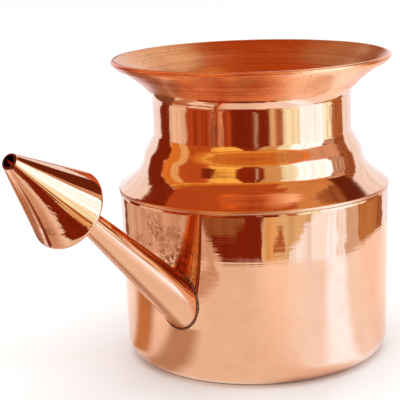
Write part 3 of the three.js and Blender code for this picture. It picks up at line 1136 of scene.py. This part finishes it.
add_near_card("white left", WHITE, (-180, -131))
add_near_card("left line", BROWN, (-131, -124), strength=0.6)
add_near_card("peach", PEACH, (-124, -24), (-124, -46))
add_near_card("dark", DARK, (-24, 5), (-46, 5))
add_near_card("haze", BROWN, (-35, -12), (-45, -6), (186, 186), (13, KNEE), strength=0.75)
add_near_card("spot", BROWN, (15, 20), (15, 22), (186, 186), (5, 17))
add_near_card("pale line", PALE_GOLD, (5, 8))
add_near_card("gold", GOLD, (8, 15))
add_near_card("pale gold", PALE_GOLD, (15, 22), (15, 46), strength=0.95)
add_near_card("window", SKYLIGHT, (22, 72), (46, 72), (187, 180))
add_near_card("glare", DAYLIGHT, (54, 63), (55, 64), (179, 178))
add_near_card("cream", CREAM, (72, 88), (72, 84), (180, 190), strength=0.9)
add_near_card("brown", ORANGE, (88, 114), (84, 114), (190, 203), strength=0.75)
add_near_card("dark brown", BROWN, (114, 126), reaches=(203, 208), strength=0.8)
add_near_card("white right", WHITE, (126, 180), reaches=(208, 208))
print(len(cards), "near cards")

# %% [markdown]
# The far cards stand on a circle of 400 mm, in strips one above another. The straight neck mirrors
# the lowest strip, and the floor in front of it, so these cards have aprons that reach in over the floor.
# The two on the right are mottled rather than streaked, like sunlit plaster.

# %% Far cards, for the neck
RED = (0.55, 0.11, 0.03)
CLEAR_GOLD = (1.10, 1.42, 1.25)
PLASTER = (1.05, 1.30, 1.27)
FAR_REACH = 400 * MM
APRON_REACH = (NEAR_REACH + 20) * MM
LIFT = 0.4 * MM
CHEST = 72 * MM
HEAD = 358 * MM
MOTTLED = {"shade": 0.45, "spacing": (20 * MM, 20 * MM, 26 * MM)}


def add_far_card(name, tone, heights, foot, head=None, **finish):
    """A card between two heights, with an apron on the floor if it stands there."""
    far = FAR_REACH, FAR_REACH
    rows = [(heights[0], foot, far), (heights[1], head or foot, far)]
    if heights[0] == 0:
        rows.insert(0, (LIFT, foot, (APRON_REACH, APRON_REACH)))
    add_card(name, tone, rows, **finish)


NECK_STRIP = 0, CHEST
add_far_card("white left", WHITE, NECK_STRIP, (-180, -122), (-180, -130))
add_far_card("left post", DARK, NECK_STRIP, (-122, -104), (-130, -104))
add_far_card("cream", CREAM, NECK_STRIP, (-104, -77), strength=1.1, shade=0.75)
add_far_card("red", RED, NECK_STRIP, (-77, -22), shade=0.6)
add_far_card("dark chest", DARK, NECK_STRIP, (-22, 19))
add_far_card("pale line", PALE_GOLD, NECK_STRIP, (19, 25))
add_far_card("brown line", BROWN, NECK_STRIP, (25, 33), strength=1.1)
add_far_card("pale gold", CLEAR_GOLD, NECK_STRIP, (33, 53), strength=1.1, shade=0.7)
add_far_card("window", DAYLIGHT, NECK_STRIP, (53, 85), strength=1.15)
add_far_card("beige right", PLASTER, NECK_STRIP, (85, 100), strength=1.4, **MOTTLED)
add_far_card("right post", BROWN, NECK_STRIP, (100, 122), strength=1.1, **MOTTLED)
add_far_card("white right", WHITE, (0, HEAD), (122, 180), (125, 180))
print(len(cards), "cards so far")

# %% [markdown]
# The band of the ring and the lower part of its step mirror the second strip, up to 358 mm.
# The sheet curves in here, so one narrow band of metal sees a great height of cards.

# %% Far cards, for the ring
AMBER = (0.80, 0.30, 0.05)
EMBER = (0.55, 0.13, 0.03)
GLOW = (1.15, 0.80, 0.19)
LINTEL = 506 * MM
POST_HEAD = 600 * MM

RING_STRIP = CHEST, HEAD
add_far_card("white left upper", WHITE, RING_STRIP, (-180, -130))
add_far_card("left post upper", DARK, (CHEST, LINTEL), (-130, -102), (-128, -108))
add_far_card("amber left", AMBER, RING_STRIP, (-102, -90), (-106, -90), strength=1.1)
add_far_card("glow left", GOLD, RING_STRIP, (-90, -77), (-90, -80))
add_far_card("amber middle", EMBER, RING_STRIP, (-77, -41), (-80, -50), strength=1.1)
add_far_card("glow", GLOW, RING_STRIP, (-41, -19), (-50, -10))
add_far_card("dark head", DARK, RING_STRIP, (-19, 13), (-10, 6), strength=1.25)
add_far_card("gold", GOLD, RING_STRIP, (13, 29), (6, 29), strength=0.8)
add_far_card("pale gold upper", CLEAR_GOLD, RING_STRIP, (29, 44))
add_far_card("window upper", DAYLIGHT, RING_STRIP, (44, 85), strength=1.3)
add_far_card("beige upper", PEACH, RING_STRIP, (85, 102), strength=0.9, **MOTTLED)
add_far_card("right post upper", BROWN, (CHEST, POST_HEAD), (102, 122), (102, 124), strength=0.9, **MOTTLED)
print(len(cards), "cards so far")

# %% [markdown]
# The top of the step and the cove lean back so far that they mirror what hangs above: amber cards with
# one bright line between them, a dull red above those and a ceiling like embers.

# %% Far cards, for the step and the cove
TAN = (0.70, 0.46, 0.32)
LINE_FOOT = 398 * MM
LINE_HEAD = 416 * MM
TOP = 900 * MM

add_far_card("amber lintel", AMBER, (HEAD, LINE_FOOT), (-106, 30))
add_far_card("amber lintel right", AMBER, (HEAD, LINE_FOOT), (30, 106), strength=1.2)
add_far_card("bright line", GLOW, (LINE_FOOT, LINE_HEAD), (-106, 40), (-107, 40))
add_far_card("bright line end", ORANGE, (LINE_FOOT, LINE_HEAD), (40, 106), strength=0.9)
add_far_card("amber above", AMBER, (LINE_HEAD, LINTEL), (-107, 30), (-108, 30), strength=0.9)
add_far_card("amber right", ORANGE, (LINE_HEAD, LINTEL), (30, 106), strength=0.9)
add_far_card("red upper", RED, (LINTEL, TOP), (-130, -96), (-130, -90))
add_far_card("ember", EMBER, (LINTEL, TOP), (-96, 34), (-90, 34))
add_far_card("amber upper", ORANGE, (LINTEL, TOP), (34, 105), (34, 104))
add_far_card("back left", TAN, (HEAD, TOP), (-180, -128), (-180, -130), strength=0.8)
add_far_card("right post top", BROWN, (POST_HEAD, TOP), (104, 124), strength=0.9)

ceiling_bm = bmesh.new()
bmesh.ops.create_circle(
    ceiling_bm, cap_ends=True, radius=FAR_REACH, segments=64, matrix=Matrix.Translation((0, 0, TOP)))
stage_card(ceiling_bm, "ceiling", EMBER)
print(len(cards), "cards so far")

# %% [markdown]
# Small marks stop the bands from looking drawn: a dark spot and a dark line on the ring, a thin glint
# and a brown patch behind. They hang just in front of the other cards. One more, further in, is the tan end
# of the amber band on the step, which runs on to the right and grows narrow there.

# %% Spots
SPOT_REACH = 0.99 * FAR_REACH
END_REACH = 330 * MM


def add_spot(name, tone, *rows, reach=SPOT_REACH, **finish):
    """A small card through rows of a height in millimetres and two angles."""
    add_card(name, tone, [(height * MM, sides, (reach, reach)) for height, *sides in rows], **finish)


add_spot("ring spot", DARK, (138, -46, -41), (148, -51, -36), (166, -51, -36), (178, -46, -41))
add_spot("ring line", DARK, (158, -36, -18), (166, -36, -18))
add_spot("lintel end", TAN, (205, 98, 106), (240, 84, 106), (285, 66, 98), (316, 54, 80),
         reach=END_REACH, strength=1.15)
add_spot("glint", CREAM, (10, 3.0, 4.6), (300, 2.4, 3.4))
add_spot("back brown", BROWN, (170, -180, -160), (358, -180, -160), strength=0.8)
print(len(cards), "cards so far")

# %% [markdown]
# Flags are level cards that hang over the floor and darken what the metal mirrors of it:
# one below the rim for the underside of the flare and one before the spout for the cone of the nose piece.
# That one's sides are torn, because the dark band on the cone ends in teeth.
# A third hangs under the ceiling and glows.

# %% Flags
def add_flag(name, tone, height, inner, inner_reach, outer, outer_reach, **finish):
    """A level card from two angles at an inner reach to two at an outer one."""
    rows = (height, inner, (inner_reach,) * 2), (height, outer, (outer_reach,) * 2)
    add_card(name, tone, rows, **finish)


add_flag("rim flag", BROWN, 58 * MM, (-134, -90), 54 * MM, (-134, -90), 108 * MM, strength=0.5)
add_flag("nose flag", DARK, 42 * MM, (-28, -6), 122 * MM, (-20, -6), 152 * MM, torn=7.0)
add_flag("ceiling glow", ORANGE, TOP - MM, (60, 112), 300 * MM, (60, 112), FAR_REACH)
print(len(cards), "cards so far")

# %% [markdown]
# The last ones have no hard sides. Light from the window lies on the floor and runs down the right of the
# cup as a pale stripe. Shades lie down the left of the cup, in its middle, under the spout and below
# the nose piece, which mirrors the floor too. A dark beam crosses the cards on the right.
# Each fades in at its start and out towards its sides, where the finish turns see-through.

# %% Soft strips
DEEP_BROWN = (0.16, 0.03, 0.01)
SHADE = (0.62, 0.31, 0.13)
PALE_SHADE = (0.96, 0.91, 0.84)
ROSE = (0.48, 0.27, 0.18)
UNDER_SHADE = (0.58, 0.40, 0.29)
BEAM_REACH = 0.97 * FAR_REACH
SOFT_END = 0.06  # share of the length that fades in at the start
STRIP_SHADE = 0.96


def add_soft_strip(name, tone, first, last, widths, aside, core=0.3):
    """A strip between two points, with a half width at either, that fades outside its core."""
    along = last - first
    ends = (first, -widths[0]), (last, -widths[1]), (last, widths[1]), (first, widths[0])
    axes = Matrix((along.normalized(), aside, along.normalized().cross(aside))).transposed()

    def fade(start):
        place = object_place(start, tuple(first), tuple(axes.to_euler()))
        x = start.node("ShaderNodeSeparateXYZ", {}, {"Vector": place}, output="X")
        width = widths[0] + x * ((widths[1] - widths[0]) / along.length)
        sides = (abs(x.other("Y")) / width).between(core, 1.0)
        return 1 - (1 - sides) * (x / along.length).between(0.0, SOFT_END)

    bm = bmesh.new()
    bm.faces.new([bm.verts.new(point + width * aside) for point, width in ends])
    stage_card(bm, name, tone, shade=STRIP_SHADE, fade=fade)


def add_floor_strip(name, tone, near, far, widths, lift=LIFT):
    """A soft strip between two places of an angle and a reach, with its half widths, in millimetres."""
    first, last = [round_the_pot(math.radians(angle), reach * MM, lift) for angle, reach in (near, far)]
    along = (last - first).normalized()
    halves = [width * MM for width in widths]
    add_soft_strip(name, tone, first, last, halves, Vector((-along.y, along.x, 0)))


add_floor_strip("window glow", WHITE, (36, 46), (58, 190), (40, 150))
add_floor_strip("window light", DAYLIGHT, (42, 48), (63.5, 190), (14, 44), 2 * LIFT)
add_floor_strip("tan shade", SHADE, (-74, 50), (-98, 187), (11, 62))
add_floor_strip("nose shade", TAN, (-28, 180), (-58, 135), (26, 30))
add_floor_strip("front shade", PALE_SHADE, (-18, 36), (-18, 186), (40, 110))
add_floor_strip("spout shade", UNDER_SHADE, (-50, 44), (-50, 96), (15, 28), 2 * LIFT)
add_floor_strip("nose line", DARK, (-43, 163), (-65.5, 124), (5, 7), 2 * LIFT)
add_floor_strip("nose edge", BROWN, (-72, 168), (-114, 146), (26, 30), 2 * LIFT)
add_floor_strip("nose side", ROSE, (-57, 160), (-97, 132), (12, 16), 3 * LIFT)
beam_foot = round_the_pot(math.radians(84), BEAM_REACH, 290 * MM)
beam_head = round_the_pot(math.radians(149), BEAM_REACH, 372 * MM)
outwards = round_the_pot(math.radians(116), 1, 0)
beam_aside = (beam_head - beam_foot).cross(outwards).normalized()
add_soft_strip("beam", DEEP_BROWN, beam_foot, beam_head, (80 * MM, 90 * MM), beam_aside, core=0.6)
print(len(cards), "cards in all")

# %% Sizes and finish
sizes = {"cad": CAD_BOX, "visual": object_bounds()}
print("visual box in mm:", in_mm(sizes["visual"][0]), in_mm(sizes["visual"][1]))
